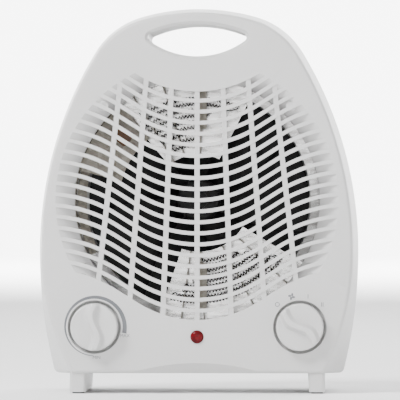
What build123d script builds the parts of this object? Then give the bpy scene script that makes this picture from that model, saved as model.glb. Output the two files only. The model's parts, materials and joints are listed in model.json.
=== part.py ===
# Upright fan heater with a wave grille, two dials and a carrying handle.
# Millimetres. X is to the right as seen from the front, Y runs from front to back, Z is up.
# The origin lies on the floor, under the middle of the heater with its dials.
# "Depth" is measured backwards from the flat front face.
import math
import os

from build123d import *

os.makedirs("parts", exist_ok=True)

# Body
half_width = 110.4
widest_height = 97.0
base_height = 13.0
body_depth = 114.0
front_depth = 46.0
wall = 2.4
side_radius = 265.0
side_turn = 31.3
shoulder_radius = 55.4
shoulder_turn = 73.8
lower_radius = 335.0
face_lower_radius = 178.0
face_inset = 4.0
rear_inset = 4.0
base_lift = 1.0
corner_radius = 4.0
face_edge_radius = 2.5
rear_edge_radius = 5.0
back_curve_start = 140.0
back_curve_radius = 187.0
chin_half_width = 49.0
chin_rise = 8.0
chin_angle = 40.0

# Handle slot
slot_half_width = 36.5
slot_end_height = 244.6
slot_top_height = 253.1
slot_bottom_height = 230.9
slot_corner_radius = 3.0
slot_edge = 2.0

# Wave grille
axis_height = 132.4
bar_pitch = 7.565
bar_width = 2.6
bars_above = 9
bars_below = 10
bar_depth = 5.0
bar_root = 0.5
wave_radius = 76.9
wave_slope = 32.2
wave_straight_end = 55.4
wave_outer_radius = 88.7
rib_width = 3.4
rib_spacing = 20.5
rib_setback = 0.6
ribs_each_side = 3
rib_meeting_height = 555.0
scoop_radius = 97.0
throat_radius = 84.0
scoop_depth = 6.0
scoop_wall = 1.8

# Dials
dial_offset = 70.3
dial_height = 45.6
knob_radius = 16.4
knob_stand_out = 11.0
dial_gap = 1.9
well_depth = 4.5

well_floor = 2.0
neck_radius = 4.4
nut_across_flats = 12.0
nut_height = 1.8
spindle_radius = 3.0
spindle_reach = 5.0
dial_body_depth = 18.0
dial_body_width = 28.0
dial_body_height = 24.0
dial_body_back = 4.0
dial_body_corner = 2.0
neck_stand_out = 0.2
knob_skirt_gap = 0.4
knob_edge = 0.9
knob_draft = 1.5
nut_clearance = 2.4
nut_headroom = 1.0
ridge_width = 3.6
ridge_tip_gap = 2.2
ridge_draft = 12.0
ridge_height = 2.6
ridge_bulge = 2.4

# Pilot lamp
lamp_height = 38.9
lens_radius = 4.6
lens_dome = 2.2
lens_tube_radius = 3.9
lens_tube_length = 10.0
bulb_radius = 2.6
bulb_tip = 1.0
bulb_length = 12.0

# Case screws and posts
case_screw_places = [(92.0, 24.0), (99.0, 112.0), (54.0, 236.0)]
post_radius = 4.5
screw_radius = 1.5
pilot_hole_gap = 0.05
screw_head_radius = 3.0
screw_head_height = 2.2
case_screw_grip = 12.0
case_screw_land = 8.0

# Feet
foot_inner = 75.5
foot_outer = 87.3
foot_draft = 1.2
foot_edge = 1.5
foot_top = base_height + 2 * wall
foot_front = 2.0
foot_rear = 102.0
pad_length = 16.0
pad_width = 8.0
pad_corner = 2.0
pad_stand_out = 1.0
pad_pocket = 1.6
foot_screw_depths = [36.0, 74.0]
foot_screw_seat = 7.0
foot_screw_length = 12.0
foot_boss_radius = 3.6
foot_boss_foot = base_height + wall / 2
foot_boss_top = 23.0

# Reflector ring
ring_wall = 0.8
ring_length = 52.0
ring_screw_radius = 91.0
ear_depth = 14.0
ear_width = 10.0
ear_thickness = 1.2
ring_flange_radius = 94.0
ring_post_radius = 3.6

# Heating element
board_thickness = 0.8
board_front = 16.0
board_depth = 18.0
notch_depth = 3.4
notch_width = 6.4
wire_width = 0.8
wire_swing = 2.2
wire_pitch = 5.2
wire_front = 18.0
reflector_front = 35.0
reflector_thickness = 0.6
strip_width = 5.5
strip_length = 34.0
strip_offset = 3.35
upper_strip_height = 66.0
lower_strip_height = -60.0
plate_inner = 54.0
plate_angles = (128.0, 166.0)
plate_setback = 4.0
lining_angles = (168.0, 222.0)
lining_setback = 2.0
lining_depth = 24.0
cutout_radius = 69.0
cutout_angle = 140.0
cutout_length = 14.0
cutout_width = 9.0
cutout_height = 5.0
cutout_corner = 2.0
upper_rows = [(38.0, 93.0, 116.0), (46.0, 93.0, 121.0), (54.0, 93.0, 125.0), (62.0, 82.0, 127.0),
              (70.0, 66.0, 124.0)]
lower_rows = [(42.0, 274.0, 302.0), (49.0, 270.0, 312.0), (56.0, 268.0, 319.0), (63.0, 261.0, 323.0),
              (70.0, 254.0, 326.0)]
upper_board_angles = [87.2, 107.0, 122.0]
lower_board_angles = [262.0, 273.2, 298.0, 317.0]

# Fan and motor
fan_radius = 76.5
fan_front = 40.0
fan_depth = 18.0
hub_radius = 15.0
blade_count = 7
blade_thickness = 1.6
blade_pitch = 27.0
root_chord = 14.0
tip_chord = 62.0
hub_edge = 3.0
clip_radius = 6.2
clip_thickness = 2.0
shaft_radius = 2.5
shaft_edge = 0.4
shaft_front = 36.0
shaft_end = 99.0
bracket_thickness = 1.5
arm_width = 14.0
motor_plate = 58.0
stack_front = 70.0
stack_length = 16.0
stack_half_width = 29.0
stack_top = 22.0
stack_bottom = 42.0
limb_height = 12.0
window_half_width = 18.0
window_height = 11.0
rotor_radius = 15.0
air_gap = 0.3
bearing_radius = 7.0
bearing_length = 8.0
bearing_bracket_thickness = 2.0
bearing_bracket_height = 12.0
motor_screw_offset = 23.0
motor_screw_radius = 1.9

# Air intake in the rear cover
intake_radius = 68.0
intake_slot = 3.4
intake_pitch = 6.4
intake_rib = 4.0

# Mains inlet
inlet_offset = 62.0
inlet_height = 34.0
gland_radius = 7.0
gland_bore = 3.6
gland_flange = 9.0
gland_stand_out = 1.5
gland_length = 12.0

# Working clearances
running_gap = 0.05
seat_gap = 0.3

front_y = -(knob_stand_out + body_depth + gland_stand_out) / 2 + knob_stand_out
parting_y = front_y + front_depth
rear_y = front_y + body_depth
chin_radius = (chin_half_width**2 + chin_rise**2) / (2 * chin_rise)


# Planes and axes that the pieces share
def across(depth):
    return Plane.XZ.offset(-(front_y + depth))


def fan_plane(depth):
    return Plane(origin=(0, front_y + depth, axis_height), x_dir=(1, 0, 0), z_dir=(0, -1, 0))


fan_axis = Axis((0, front_y, axis_height), (0, 1, 0))
fan_section = Plane(origin=(0, front_y, axis_height), x_dir=(0, 1, 0), z_dir=(1, 0, 0))


# Outline of the body seen from the front, its upper part drawn in evenly by an inset
def body_outline(inset, low_radius, lift):
    shoulder_reach = side_radius * (1 - math.cos(math.radians(side_turn))) + shoulder_radius * (
        math.cos(math.radians(side_turn)) - math.cos(math.radians(shoulder_turn))
    )
    top_radius = (half_width - shoulder_reach) / math.cos(math.radians(shoulder_turn))
    low_drop = widest_height - base_height - lift
    with BuildSketch() as outline:
        with BuildLine():
            widest = (half_width - inset, widest_height)
            low = JernArc(widest, (0, -1), low_radius, -math.degrees(math.asin(low_drop / low_radius)))
            side = JernArc(widest, (0, 1), side_radius - inset, side_turn)
            shoulder = JernArc(side @ 1, side % 1, shoulder_radius - inset, shoulder_turn - side_turn)
            JernArc(shoulder @ 1, shoulder % 1, top_radius - inset, 90 - shoulder_turn)
            Line(low @ 1, (0, base_height + lift))
            mirror(about=Plane.YZ)
        make_face()
        base_corners = outline.vertices().group_by(Axis.Y)[0].sort_by(Axis.X)
        fillet([base_corners[0], base_corners[-1]], corner_radius)
    return outline.sketch


def slot_outline(growth):
    with BuildSketch() as slot:
        with BuildLine():
            left_end = (-slot_half_width, slot_end_height)
            right_end = (slot_half_width, slot_end_height)
            ThreePointArc(left_end, (0, slot_top_height), right_end)
            ThreePointArc(left_end, (0, slot_bottom_height), right_end)
        make_face()
        fillet(slot.vertices(), slot_corner_radius)
        if growth > 0:
            offset(amount=growth)
    return slot.sketch


# Side view of the rear: upright below, then curving forward to the handle
def back_profile(inset):
    curve_rise = body_top - back_curve_start
    reach = back_curve_radius - inset
    back_turn = math.degrees(math.asin(curve_rise / reach))
    with BuildSketch() as profile:
        with BuildLine():
            start = (rear_y - inset, back_curve_start)
            upper = JernArc(start, (0, 1), reach, back_turn)
            Polyline(upper @ 1, (parting_y - front_depth, body_top), (parting_y - front_depth, 0),
                     (rear_y - inset, 0), start)
        make_face()
    return profile.sketch


body_top = body_outline(0, lower_radius, 0).bounding_box().max.Y


# Solid envelope of the front cover, or with an inset the hollow inside it
def front_form(inset):
    with BuildPart() as form:
        with BuildSketch(across(front_depth)):
            add(body_outline(inset, lower_radius - inset, inset))
        with BuildSketch(across(inset)):
            add(body_outline(inset + face_inset, face_lower_radius - inset, inset + base_lift))
        loft(ruled=True)
        with BuildSketch(across(0)):
            add(slot_outline(inset))
        extrude(amount=-front_depth, mode=Mode.SUBTRACT)
        if inset == 0:
            fillet(form.faces().sort_by(Axis.Y)[0].outer_wire().edges(), face_edge_radius)
            chamfer(form.faces().sort_by(Axis.Y)[0].inner_wires()[0].edges(), slot_edge)
        with BuildSketch(across(0)):
            with Locations((0, base_height + chin_rise - chin_radius)):
                Circle(chin_radius + inset / math.cos(math.radians(chin_angle)))
        chin_run = (chin_rise + 2 * wall) / math.sin(math.radians(chin_angle))
        chin_way = (0, math.cos(math.radians(chin_angle)), -math.sin(math.radians(chin_angle)))
        extrude(amount=chin_run, dir=chin_way, mode=Mode.SUBTRACT)
    return form.part


# Solid envelope of the rear cover, or with an inset the hollow inside it
def rear_form(inset):
    with BuildPart() as form:
        with BuildSketch(across(front_depth)):
            add(body_outline(inset, lower_radius - inset, inset))
        with BuildSketch(across(body_depth - inset)):
            add(body_outline(inset + rear_inset, lower_radius - inset, inset + base_lift))
        loft(ruled=True)
        with BuildSketch(Plane.YZ):
            add(back_profile(inset))
        extrude(amount=half_width, both=True, mode=Mode.INTERSECT)
        with BuildSketch(across(front_depth)):
            add(slot_outline(inset))
        extrude(amount=-body_depth, mode=Mode.SUBTRACT)
        if inset == 0:
            flat_back = form.faces().sort_by(Axis.Y)[-1]
            curved_back = form.faces().filter_by(GeomType.CYLINDER).filter_by(
                lambda face: abs(face.radius - back_curve_radius) < 0.01)[0]
            seam = set(flat_back.edges()) & set(curved_back.edges())
            rim = [edge for edge in flat_back.edges() + curved_back.outer_wire().edges() if edge not in seam]
            fillet(rim, rear_edge_radius)
    return form.part


# One edge of a wave bar, moved off the bar's centre line by a shift
def wave_edge(height, shift):
    reach = wave_radius * math.sin(math.radians(wave_slope))
    straight = (wave_straight_end - reach) / math.cos(math.radians(wave_slope))
    with BuildLine() as edge:
        middle = JernArc((0, height + shift), (1, 0), wave_radius - shift, wave_slope)
        slope = PolarLine(middle @ 1, straight, wave_slope)
        JernArc(slope @ 1, slope % 1, wave_outer_radius + shift, -wave_slope)
        mirror(about=Plane.YZ)
    return edge.line


# Area between two wave edges, one above the other
def wave_band(lower, upper):
    ends = [edge.vertices().sort_by(Axis.X) for edge in (lower, upper)]
    with BuildSketch() as band:
        with BuildLine():
            add(lower)
            add(upper)
            Line(ends[0][0].center(), ends[1][0].center())
            Line(ends[0][-1].center(), ends[1][-1].center())
        make_face()
    return band.sketch


top_edge_height = axis_height + bar_pitch * (bars_above + 1)
bottom_edge_height = axis_height - bar_pitch * (bars_below + 1)

with BuildSketch() as opening:
    add(wave_band(wave_edge(bottom_edge_height, bar_width / 2), wave_edge(top_edge_height, -bar_width / 2)))
    with Locations((0, axis_height)):
        Circle(scoop_radius, mode=Mode.INTERSECT)

with BuildSketch() as bar_limits:
    add(opening.sketch)
    offset(amount=bar_root)

with BuildSketch() as wave_bars:
    for step in range(-bars_below, bars_above + 1):
        height = axis_height + bar_pitch * step
        add(wave_band(wave_edge(height, -bar_width / 2), wave_edge(height, bar_width / 2)))
    add(bar_limits.sketch, mode=Mode.INTERSECT)

with BuildSketch() as upright_ribs:
    for step in range(-ribs_each_side, ribs_each_side + 1):
        lean = math.degrees(math.atan(rib_spacing * step / rib_meeting_height))
        with Locations(Location((rib_spacing * step, axis_height, 0), (0, 0, lean))):
            Rectangle(rib_width, 2 * scoop_radius)
    add(bar_limits.sketch, mode=Mode.INTERSECT)

with BuildPart() as grille:
    with BuildSketch(across(0)):
        add(wave_bars.sketch)
    extrude(amount=-bar_depth)
    with BuildSketch(across(rib_setback)):
        add(upright_ribs.sketch)
    extrude(amount=rib_setback - bar_depth)
    with BuildSketch(fan_section):
        throat_at_bars = throat_radius + (scoop_radius - throat_radius) * (1 - bar_depth / scoop_depth)
        Polygon((0, 0), (bar_depth, 0), (bar_depth, throat_at_bars + scoop_wall / 2),
                (scoop_wall / 2, scoop_radius + 2 * bar_root), (0, scoop_radius + 2 * bar_root), align=None)
    revolve(axis=fan_axis, mode=Mode.INTERSECT)


# Round posts that fill the space between two depths of a cover, cut to its outer form
def posts(places, radius, start, end, envelope):
    with BuildPart() as group:
        with BuildSketch(across(start)):
            with Locations(*places):
                Circle(radius)
        extrude(amount=start - end)
        add(envelope, mode=Mode.INTERSECT)
    return group.part


# Upright round pins at one depth over both feet, between two heights
def foot_pins(depth, radius, bottom, top):
    with BuildPart() as pins:
        with BuildSketch(Plane.XY.offset(bottom)):
            with Locations(*[(side * (foot_inner + foot_outer) / 2, front_y + depth) for side in (-1, 1)]):
                Circle(radius)
        extrude(amount=top - bottom)
    return pins.part


def mirrored(places):
    return [(side * x, z) for x, z in places for side in (-1, 1)]


def around_fan(radius, angles):
    return [(radius * math.cos(math.radians(angle)), axis_height + radius * math.sin(math.radians(angle)))
            for angle in angles]


case_screws_at = mirrored(case_screw_places)
ring_screws_at = around_fan(ring_screw_radius, (45, 135, 225, 315))
dials_at = [(-dial_offset, dial_height), (dial_offset, dial_height)]
well_floor_depth = well_depth + well_floor
front_envelope = front_form(0)
rear_envelope = rear_form(0)

# Funnel behind the panel, from the outer end of the scooped slots to the throat
with BuildPart() as throat:
    with BuildSketch(fan_section):
        Polygon((0, scoop_radius), (scoop_depth, throat_radius), (scoop_depth + scoop_wall, throat_radius),
                (scoop_wall, scoop_radius + 2 * bar_root), (0, scoop_radius + 2 * bar_root), align=None)
    revolve(axis=fan_axis)
    add(front_envelope, mode=Mode.INTERSECT)

# Front cover, moulded with the grille, the dial wells and its posts
with BuildPart() as front_cover:
    add(front_envelope)
    add(front_form(wall), mode=Mode.SUBTRACT)
    with BuildSketch(across(0)):
        add(opening.sketch)
    extrude(amount=-wall, mode=Mode.SUBTRACT)
    add(throat.part)
    add(posts(case_screws_at, post_radius, wall / 2, front_depth, front_envelope))
    add(posts(ring_screws_at, ring_post_radius, wall / 2, ear_depth, front_envelope))
    add(posts(dials_at, knob_radius + dial_gap + well_floor, wall / 2, well_floor_depth, front_envelope))
    add(grille.part)
    add(foot_pins(foot_screw_depths[0], foot_boss_radius, foot_boss_foot, foot_boss_top))
    add(foot_pins(foot_screw_depths[0], screw_radius + pilot_hole_gap, 0, foot_boss_top), mode=Mode.SUBTRACT)
    with BuildSketch(across(0)):
        with Locations(*dials_at):
            Circle(knob_radius + dial_gap)
    extrude(amount=-well_depth, mode=Mode.SUBTRACT)
    with BuildSketch(across(0)):
        with Locations(*dials_at):
            Circle(neck_radius + running_gap)
        with Locations((0, lamp_height)):
            Circle(lens_tube_radius + running_gap)
    extrude(amount=-well_floor_depth, mode=Mode.SUBTRACT)
    with BuildSketch(across(front_depth)):
        with Locations(*case_screws_at):
            Circle(screw_radius + pilot_hole_gap)
    extrude(amount=case_screw_grip + 2, mode=Mode.SUBTRACT)
    with BuildSketch(across(ear_depth)):
        with Locations(*ring_screws_at):
            Circle(screw_radius + pilot_hole_gap)
    extrude(amount=ear_depth - wall, mode=Mode.SUBTRACT)
front_cover.part.label = "front_cover"
export_step(front_cover.part, "parts/front_cover.step")

# Rear cover, moulded with the air intake, screw posts and the inlet hole
with BuildSketch() as intake:
    with Locations((0, axis_height)):
        with GridLocations(0, intake_pitch, 1, 2 * int(intake_radius / intake_pitch) + 1):
            Rectangle(2 * intake_radius, intake_slot)
    with Locations((0, axis_height)):
        Circle(intake_radius, mode=Mode.INTERSECT)
    for rib_offset in (-intake_radius / 2, 0, intake_radius / 2):
        with Locations((rib_offset, axis_height)):
            Rectangle(intake_rib, 2 * intake_radius, mode=Mode.SUBTRACT)

with BuildPart() as rear_cover:
    add(rear_envelope)
    add(rear_form(wall), mode=Mode.SUBTRACT)
    add(posts(case_screws_at, post_radius, front_depth, body_depth, rear_envelope))
    add(foot_pins(foot_screw_depths[1], foot_boss_radius, foot_boss_foot, foot_boss_top))
    add(foot_pins(foot_screw_depths[1], screw_radius + pilot_hole_gap, 0, foot_boss_top), mode=Mode.SUBTRACT)
    with BuildSketch(across(front_depth)):
        with Locations(*case_screws_at):
            Circle(screw_radius + running_gap)
    extrude(amount=-body_depth, mode=Mode.SUBTRACT)
    with BuildSketch(across(front_depth + case_screw_land)):
        with Locations(*case_screws_at):
            Circle(screw_head_radius + seat_gap)
    extrude(amount=-body_depth, mode=Mode.SUBTRACT)
    with BuildSketch(across(front_depth + front_depth / 2)):
        add(intake.sketch)
    extrude(amount=-body_depth, mode=Mode.SUBTRACT)
    with BuildSketch(across(front_depth + front_depth / 2)):
        with Locations((inlet_offset, inlet_height)):
            Circle(gland_radius + running_gap)
    extrude(amount=-body_depth, mode=Mode.SUBTRACT)
rear_cover.part.label = "rear_cover"
export_step(rear_cover.part, "parts/rear_cover.step")


# Pan-head screws with their heads at one depth and their shanks pointing forward
def screws(places, head_start, length, head_radius=screw_head_radius, shank_radius=screw_radius):
    with BuildPart() as group:
        with BuildSketch(across(head_start)):
            with Locations(*places):
                Circle(head_radius)
        extrude(amount=-screw_head_height)
        with BuildSketch(across(head_start)):
            with Locations(*places):
                Circle(shank_radius)
        extrude(amount=length)
    return group.part


with BuildPart() as case_screws:
    add(screws(case_screws_at, front_depth + case_screw_land, case_screw_land + case_screw_grip))
case_screws.part.label = "case_screws"
export_step(case_screws.part, "parts/case_screws.step")

with BuildPart() as ring_screws:
    add(screws(ring_screws_at, ear_depth + ear_thickness, ear_thickness + ear_depth - 2 * wall))
ring_screws.part.label = "ring_screws"
export_step(ring_screws.part, "parts/ring_screws.step")

# Feet, two long skids, each with two rubber pads let into it
for side, name in ((-1, "left"), (1, "right")):
    with BuildPart() as foot:
        with BuildSketch(Plane.XY.offset(foot_top)):
            with Locations((side * (foot_inner + foot_outer) / 2, front_y + (foot_front + foot_rear) / 2)):
                Rectangle(foot_outer - foot_inner, foot_rear - foot_front)
        with BuildSketch(Plane.XY.offset(pad_stand_out)):
            with Locations((side * (foot_inner + foot_outer + foot_draft) / 2,
                            front_y + (foot_front + foot_rear) / 2)):
                Rectangle(foot_outer - foot_inner - foot_draft, foot_rear - foot_front - 2 * foot_draft)
        loft(ruled=True)
        upright_edges = foot.edges().filter_by(lambda edge: abs(edge.tangent_at(0.5).Z) > 0.7)
        chamfer(upright_edges, foot_edge)
        add(front_envelope, mode=Mode.SUBTRACT)
        add(rear_envelope, mode=Mode.SUBTRACT)
        for depth in foot_screw_depths:
            add(foot_pins(depth, screw_radius + running_gap, 0, foot_boss_top), mode=Mode.SUBTRACT)
            add(foot_pins(depth, screw_head_radius + seat_gap, 0, foot_screw_seat), mode=Mode.SUBTRACT)
        pad_depths = (foot_front + pad_length, foot_rear - pad_length)
        pad_centres = [(side * (foot_inner + foot_outer + foot_draft) / 2, front_y + depth)
                       for depth in pad_depths]
        with BuildSketch(Plane.XY.offset(pad_stand_out)):
            with Locations(*pad_centres):
                RectangleRounded(pad_width + 2 * running_gap, pad_length + 2 * running_gap, pad_corner)
        extrude(amount=pad_pocket, mode=Mode.SUBTRACT)
    foot.part.label = name + "_foot"
    export_step(foot.part, "parts/" + name + "_foot.step")
    with BuildPart() as pads:
        with BuildSketch():
            with Locations(*pad_centres):
                RectangleRounded(pad_width, pad_length, pad_corner)
        extrude(amount=pad_stand_out + pad_pocket)
    pads.part.label = name + "_foot_pads"
    export_step(pads.part, "parts/" + name + "_foot_pads.step")

with BuildPart() as foot_screws:
    for depth in foot_screw_depths:
        add(foot_pins(depth, screw_head_radius, foot_screw_seat - screw_head_height, foot_screw_seat))
        add(foot_pins(depth, screw_radius, foot_screw_seat - screw_head_height / 2,
                      foot_screw_seat + foot_screw_length))
foot_screws.part.label = "foot_screws"
export_step(foot_screws.part, "parts/foot_screws.step")

# Knobs with an S-shaped ridge, pointing at their marks at rest
knob_angles = {"thermostat": 0.0, "switch": 45.0}
for (x, z), name in zip(dials_at, ("thermostat", "switch")):
    turn = math.radians(knob_angles[name])
    dial_plane = Plane(origin=(x, front_y, z), x_dir=(math.cos(turn), 0, math.sin(turn)), z_dir=(0, -1, 0))
    knob_back = well_depth - knob_skirt_gap
    face_depth = knob_stand_out - ridge_height
    with BuildPart() as knob:
        with BuildSketch(Plane(origin=(x, front_y, z), x_dir=(0, 1, 0), z_dir=(1, 0, 0))):
            face_radius = knob_radius - (knob_back + face_depth) * math.tan(math.radians(knob_draft))
            Polygon((knob_back, 0), (knob_back, knob_radius), (knob_edge - face_depth, face_radius),
                    (-face_depth, face_radius - knob_edge), (-face_depth, 0), align=None)
        revolve(axis=Axis((x, front_y, z), (0, 1, 0)))
        with BuildSketch(dial_plane.offset(face_depth - ridge_height)):
            with BuildLine():
                tip = knob_radius - ridge_tip_gap
                ThreePointArc((0, tip), (-ridge_bulge, tip / 2), (0, 0))
                ThreePointArc((0, 0), (ridge_bulge, -tip / 2), (0, -tip))
                offset(amount=ridge_width / 2, side=Side.BOTH)
            make_face()
        extrude(amount=2 * ridge_height, taper=ridge_draft)
        with BuildSketch(dial_plane.offset(-knob_back)):
            Circle(nut_across_flats / 2 + nut_clearance)
        extrude(amount=nut_height + nut_headroom, mode=Mode.SUBTRACT)
        with BuildSketch(dial_plane.offset(-knob_back)):
            Circle(spindle_radius + running_gap)
        extrude(amount=knob_back + spindle_reach, mode=Mode.SUBTRACT)
    knob.part.label = name + "_knob"
    export_step(knob.part, "parts/" + name + "_knob.step")
    body_bore_depth = well_floor_depth + dial_body_depth - dial_body_back
    with BuildPart() as spindle:
        with BuildSketch(dial_plane.offset(spindle_reach)):
            Circle(spindle_radius)
        extrude(amount=-(spindle_reach + body_bore_depth - seat_gap))
    spindle.part.label = name + "_spindle"
    export_step(spindle.part, "parts/" + name + "_spindle.step")
    with BuildPart() as dial_body:
        with BuildSketch(dial_plane.offset(-well_floor_depth)):
            if name == "thermostat":
                RectangleRounded(dial_body_width, dial_body_height, dial_body_corner)
            else:
                Circle(dial_body_height / 2)
        extrude(amount=-dial_body_depth)
        with BuildSketch(dial_plane.offset(-well_floor_depth)):
            Circle(neck_radius)
        extrude(amount=well_floor + nut_height + neck_stand_out)
        with BuildSketch(dial_plane):
            Circle(spindle_radius + running_gap)
        extrude(amount=-body_bore_depth, mode=Mode.SUBTRACT)
    label = "thermostat" if name == "thermostat" else "rotary_switch"
    dial_body.part.label = label
    export_step(dial_body.part, "parts/" + label + ".step")

with BuildPart() as dial_nuts:
    with BuildSketch(across(well_depth)):
        with Locations(*dials_at):
            RegularPolygon(nut_across_flats / 2, 6, major_radius=False)
            Circle(neck_radius + running_gap, mode=Mode.SUBTRACT)
    extrude(amount=nut_height)
dial_nuts.part.label = "dial_nuts"
export_step(dial_nuts.part, "parts/dial_nuts.step")

# Pilot lamp: a domed lens on a tube, with the glow lamp inside it
lamp_axis = Axis((0, front_y, lamp_height), (0, 1, 0))
lens_steps = [(-lens_dome * math.cos(math.radians(turn)), lens_radius * math.sin(math.radians(turn)))
              for turn in (18, 36, 54, 72)]
lamp_section = Plane(origin=(0, front_y, lamp_height), x_dir=(0, 1, 0), z_dir=(1, 0, 0))
with BuildPart() as pilot_lens:
    with BuildSketch(lamp_section):
        Polygon((-lens_dome, 0), *lens_steps, (0, lens_radius), (0, lens_tube_radius),
                (lens_tube_length, lens_tube_radius), (lens_tube_length, bulb_radius + running_gap),
                (0, bulb_radius + running_gap), (-lens_dome / 3, 0), align=None)
    revolve(axis=lamp_axis)
pilot_lens.part.label = "pilot_lens"
export_step(pilot_lens.part, "parts/pilot_lens.step")

with BuildPart() as pilot_lamp:
    with BuildSketch(lamp_section):
        Polygon((bulb_tip, 0), (bulb_tip, bulb_radius / 2), (bulb_tip + bulb_radius / 2, bulb_radius),
                (lens_tube_length + seat_gap, bulb_radius), (lens_tube_length + seat_gap, lens_tube_radius),
                (lens_tube_length + bulb_length / 2, lens_tube_radius),
                (lens_tube_length + bulb_length / 2, 0), align=None)
    revolve(axis=lamp_axis)
pilot_lamp.part.label = "pilot_lamp"
export_step(pilot_lamp.part, "parts/pilot_lamp.step")

# Reflector ring, a polished sheet tube with four ears and a rear flange
ring_front = scoop_depth + scoop_wall + seat_gap
ring_rear = ring_front + ring_length
ring_outer = throat_radius + ring_wall
arm_radius = (ring_outer + ring_flange_radius) / 2
with BuildPart() as reflector_ring:
    with BuildSketch(fan_plane(ring_front)):
        Circle(ring_outer)
        Circle(throat_radius, mode=Mode.SUBTRACT)
    extrude(amount=-ring_length)
    with BuildSketch(fan_plane(ring_rear)):
        Circle(ring_flange_radius)
        Circle(throat_radius, mode=Mode.SUBTRACT)
    extrude(amount=ring_wall)
    with BuildSketch(fan_plane(ear_depth)):
        with PolarLocations((throat_radius + ring_screw_radius) / 2, 4, start_angle=45):
            Rectangle(ring_screw_radius - throat_radius, ear_width)
        with PolarLocations(ring_screw_radius, 4, start_angle=45):
            Circle(ear_width / 2)
        Circle(throat_radius, mode=Mode.SUBTRACT)
    extrude(amount=-ear_thickness)
    with BuildSketch(fan_plane(ear_depth)):
        with PolarLocations(ring_screw_radius, 4, start_angle=45):
            Circle(screw_radius + 2 * pilot_hole_gap)
        with PolarLocations(arm_radius, 4):
            Circle(screw_radius + running_gap)
    extrude(amount=-ring_rear, mode=Mode.SUBTRACT)
reflector_ring.part.label = "reflector_ring"
export_step(reflector_ring.part, "parts/reflector_ring.step")


# A sector of a ring between two radii and two angles
def ring_sector(inner, outer, start, end):
    with BuildSketch() as sector:
        with BuildLine():
            far = CenterArc((0, 0), outer, start, end - start)
            near = CenterArc((0, 0), inner, start, end - start)
            Line(far @ 0, near @ 0)
            Line(far @ 1, near @ 1)
        make_face()
    return sector.sketch


# Thin mica boards standing edge-on behind the grille, notched for every row of wire
def mica_boards(angles, rows):
    with BuildPart() as boards:
        with BuildSketch(fan_plane(board_front)):
            for angle in angles:
                inner = rows[0][0] - notch_width
                length = throat_radius - seat_gap - inner
                with PolarLocations(inner + length / 2, 1, start_angle=angle):
                    Rectangle(length, board_thickness)
        extrude(amount=-board_depth)
        with BuildSketch(fan_plane(board_front)):
            for row_radius, start, end in rows:
                add(ring_sector(row_radius - notch_width / 2, row_radius + notch_width / 2, 0, 180))
                add(ring_sector(row_radius - notch_width / 2, row_radius + notch_width / 2, 180, 360))
        extrude(amount=-notch_depth, mode=Mode.SUBTRACT)
    return boards.part


# One edge of a bent flat wire: the centre line's corners moved sideways along their mitres
def mitred_edge(points, side_step):
    headings = [Vector(*end) - Vector(*start) for start, end in zip(points, points[1:])]
    normals = [Vector(-heading.Y, heading.X).normalized() for heading in headings]
    edge = []
    for index, point in enumerate(points):
        before = normals[max(index - 1, 0)]
        after = normals[min(index, len(normals) - 1)]
        mitre = (before + after).normalized()
        edge.append(Vector(*point) + mitre * (side_step / mitre.dot(after)))
    return edge


# Least gap between the wire and itself, on points along every pair of legs that don't meet
def least_gap(corners):
    legs = [[(x1 + (x2 - x1) * part / 8, y1 + (y2 - y1) * part / 8) for part in range(9)]
            for (x1, y1), (x2, y2) in zip(corners, corners[1:])]
    gaps = [math.dist(here, there) for index, leg in enumerate(legs) for other in legs[index + 2:]
            for here in leg for there in other if abs(leg[4][0] - other[4][0]) < 4 * wire_pitch]
    return min(gaps) - wire_width


# Zigzag resistance wire: rows round the fan axis, joined end to end into one wire
def zigzag_wire(rows):
    points = []
    for index, (row_radius, start, end) in enumerate(rows):
        count = max(2, round(math.radians(end - start) * row_radius / wire_pitch))
        row = []
        for step in range(2 * count + 1):
            angle = math.radians(start + (end - start) * step / (2 * count))
            swing = wire_swing if step % 2 else -wire_swing
            row.append(((row_radius + swing) * math.cos(angle), (row_radius + swing) * math.sin(angle)))
        points += row if index % 2 == 0 else row[::-1]
    print("wire's least gap to itself, mm:", round(least_gap(points), 2))
    with BuildPart() as wire:
        with BuildSketch(fan_plane(wire_front)):
            with BuildLine():
                Polyline(*mitred_edge(points, wire_width / 2), *mitred_edge(points, -wire_width / 2)[::-1],
                         close=True)
            make_face()
        extrude(amount=-wire_width)
    return wire.part


for name, rows, angles in (("upper", upper_rows, upper_board_angles), ("lower", lower_rows, lower_board_angles)):
    with BuildPart() as boards:
        add(mica_boards(angles, rows))
    boards.part.label = name + "_mica_boards"
    export_step(boards.part, "parts/" + name + "_mica_boards.step")
    with BuildPart() as heating_wire:
        add(zigzag_wire(rows))
    heating_wire.part.label = name + "_heating_wire"
    export_step(heating_wire.part, "parts/" + name + "_heating_wire.step")
    first_angle = min(row[1] for row in rows) - 3
    last_angle = max(row[2] for row in rows) + 3
    with BuildPart() as reflector:
        with BuildSketch(fan_plane(reflector_front)):
            add(ring_sector(rows[0][0] - notch_width, throat_radius - seat_gap, first_angle, last_angle))
        extrude(amount=-reflector_thickness)
    reflector.part.label = name + "_reflector"
    export_step(reflector.part, "parts/" + name + "_reflector.step")

# Mica strips facing forward at the top and the bottom of the ring
with BuildPart() as mica_strips:
    with BuildSketch(fan_plane(board_front - board_thickness)):
        with Locations((strip_offset, upper_strip_height), (strip_offset, lower_strip_height)):
            Rectangle(strip_width, strip_length)
    extrude(amount=-board_thickness)
mica_strips.part.label = "mica_strips"
export_step(mica_strips.part, "parts/mica_strips.step")

# Mica plate at the upper left and the lining on the left of the ring
with BuildPart() as mica_plate:
    with BuildSketch(fan_plane(board_front + plate_setback)):
        add(ring_sector(plate_inner, throat_radius - seat_gap, *plate_angles))
    extrude(amount=-board_thickness)
mica_plate.part.label = "mica_plate"
export_step(mica_plate.part, "parts/mica_plate.step")

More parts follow.
